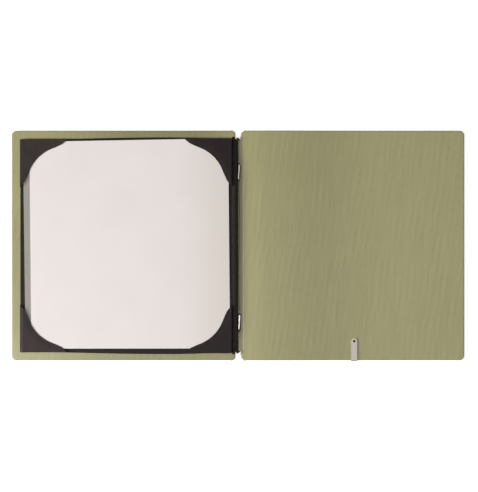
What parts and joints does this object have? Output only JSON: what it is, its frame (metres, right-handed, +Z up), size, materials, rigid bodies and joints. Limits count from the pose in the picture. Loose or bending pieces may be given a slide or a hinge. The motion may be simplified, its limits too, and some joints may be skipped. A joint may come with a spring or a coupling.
{
  "type": "card holder",
  "caption": "Square folding card holder lying open: laminated covers, a corner-pocket carrier with a card, hung on an elastic cord in the spine.",
  "frame": {"origin": "middle of the spine, on the surface the open holder lies on", "axes": "+X from the front cover to the back cover, +Y towards the head, +Z up from the surface"},
  "size_m": [0.4532, 0.2308, 0.0056],
  "materials": {
    "cover_leatherette": "fine ribbed, satin",
    "cover_board": "matte",
    "black_stock": "satin, grained",
    "black_pocket": "satin, grained",
    "grey_paper": "matte",
    "white_card": "silk",
    "cord": "braided",
    "bright_steel": "brushed",
    "dark_steel": "darkened"
  },
  "bodies": {
    "front_cover": {"front_outer_skin": "cover_leatherette", "front_board": "cover_board", "front_inner_skin": "cover_leatherette"},
    "spine": {"spine_outer_skin": "cover_leatherette", "spine_inner_skin": "cover_leatherette", "elastic_cord": "cord", "upper_barb": "bright_steel", "lower_barb": "bright_steel"},
    "back_cover": {"back_outer_skin": "cover_leatherette", "back_board": "cover_board", "back_inner_skin": "cover_leatherette", "tag": "bright_steel", "tag_rivet": "dark_steel"},
    "page": {"carrier_sheet": "black_stock", "hinge_sleeve": "black_stock", "pocket_top_left": "black_pocket", "pocket_top_right": "black_pocket", "pocket_bottom_left": "black_pocket", "pocket_bottom_right": "black_pocket", "backing_sheet": "grey_paper"},
    "card": {"menu_card": "white_card"}
  },
  "joints": [
    {"name": "spine_fold", "type": "hinge", "parent": "front_cover", "child": "spine", "pos_m": [-0.0036, 0, 0.0014], "axis": [0, -1, 0], "range_deg": [0, 90]},
    {"name": "back_cover_fold", "type": "hinge", "parent": "spine", "child": "back_cover", "pos_m": [0.0036, 0, 0.0014], "axis": [0, -1, 0], "range_deg": [0, 90]},
    {"name": "page_hinge", "type": "hinge", "parent": "spine", "child": "page", "pos_m": [-0.0009, 0, 0.00415], "axis": [0, -1, 0], "range_deg": [-90, 0]},
    {"name": "card_shift", "type": "slide", "parent": "page", "child": "card", "axis": [1, 0, 0], "range_m": [-0.006, 0]}
  ],
  "couplings": [
    {"joint": "page_hinge", "follows": "spine_fold", "ratio": -1}
  ]
}
